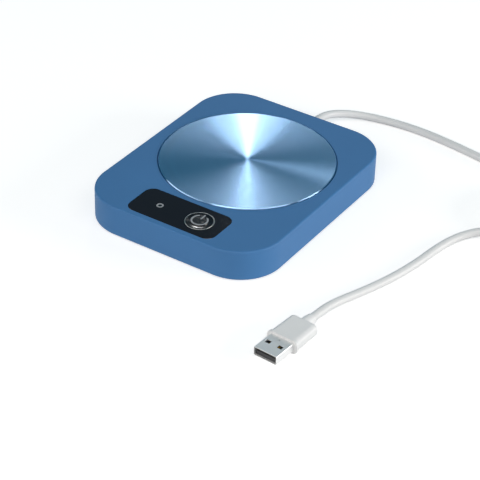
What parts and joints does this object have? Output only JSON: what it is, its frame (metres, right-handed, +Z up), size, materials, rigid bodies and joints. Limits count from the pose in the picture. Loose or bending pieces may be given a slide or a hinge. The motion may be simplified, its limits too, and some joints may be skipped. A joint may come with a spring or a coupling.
{
  "type": "electric mug warmer",
  "caption": "Flat rounded electric mug warmer with a round spun metal heating plate, a black panel with a power button and indicator, and a USB lead.",
  "frame": {"origin": "middle of the housing's footprint, on the surface that the feet stand on", "axes": "+Z up; -Y towards the control panel edge; +Y towards the edge where the lead leaves; +X to the right seen from the control panel edge"},
  "size_m": [0.2105, 0.2025, 0.0166],
  "materials": {
    "blue_plastic": "matte blue moulded plastic",
    "spun_metal": "turned with fine circular lines, tinted blue",
    "black_panel": "glossy black",
    "silver_trim": "bright silver",
    "silver_print": "silver grey print",
    "smoked_lens": "smoked clear plastic",
    "black_rubber": "matte black rubber",
    "grey_silicone": "matte grey silicone",
    "white_cable": "satin white soft plastic",
    "white_plastic": "satin white plastic",
    "plug_metal": "bright nickel plate",
    "gold_contact": "gold plated",
    "screw_steel": "zinc plated steel",
    "sheet_steel": "pressed zinc plated sheet",
    "heater_film": "amber film",
    "heater_foil": "etched foil",
    "fibre_pad": "felted glass fibre",
    "board_green": "green solder mask",
    "chip_black": "matte black",
    "part_metal": "tinned or bare metal",
    "part_white": "off-white nylon",
    "bead_amber": "glassy amber",
    "wire_red": "red insulation",
    "wire_black": "black insulation",
    "wire_white": "white insulation"
  },
  "bodies": {
    "body": {"top_housing": "blue_plastic", "base_cover": "blue_plastic", "rubber_feet": "black_rubber", "housing_screws": "screw_steel", "heating_plate": "spun_metal", "plate_gasket": "grey_silicone", "heater_film": "heater_film", "heater_track": "heater_foil", "insulation_pad": "fibre_pad", "heater_retainer": "sheet_steel", "retainer_screws": "screw_steel", "thermistor": "bead_amber", "thermal_fuse": "part_metal", "heater_wires": "wire_red", "sensor_leads": "wire_white", "control_panel": "black_panel", "button_ring": "silver_trim", "indicator_ring": "silver_print", "light_guide": "smoked_lens", "indicator_led": "part_white", "circuit_board": "board_green", "board_screws": "screw_steel", "switch_base": "chip_black", "switch_cover": "part_metal", "switch_legs": "part_metal", "switch_dome": "part_metal", "controller_chip": "chip_black", "power_transistor": "chip_black", "filter_capacitor": "part_metal", "resistors": "chip_black", "heater_connector": "part_white", "sensor_connector": "part_white", "supply_connector": "part_white", "supply_wires": "wire_black", "strain_relief": "white_cable", "cord_tail": "white_cable", "cord_clamp": "white_plastic", "clamp_screws": "screw_steel", "cord_from_housing": "white_cable", "cord_coil": "white_cable", "cord_to_plug": "white_cable", "plug_shell": "plug_metal", "plug_tongue": "white_plastic", "plug_contacts": "gold_contact", "plug_grip": "white_plastic"},
    "button": {"power_button": "black_panel", "power_symbol": "silver_print", "switch_plunger": "chip_black"}
  },
  "joints": [
    {"name": "power_press", "type": "slide", "parent": "body", "child": "button", "axis": [0, 0, -1], "range_m": [0, 0.0003], "stiffness_N_per_m": 400, "springref_m": -0.001, "deforming": ["switch_dome"]}
  ]
}
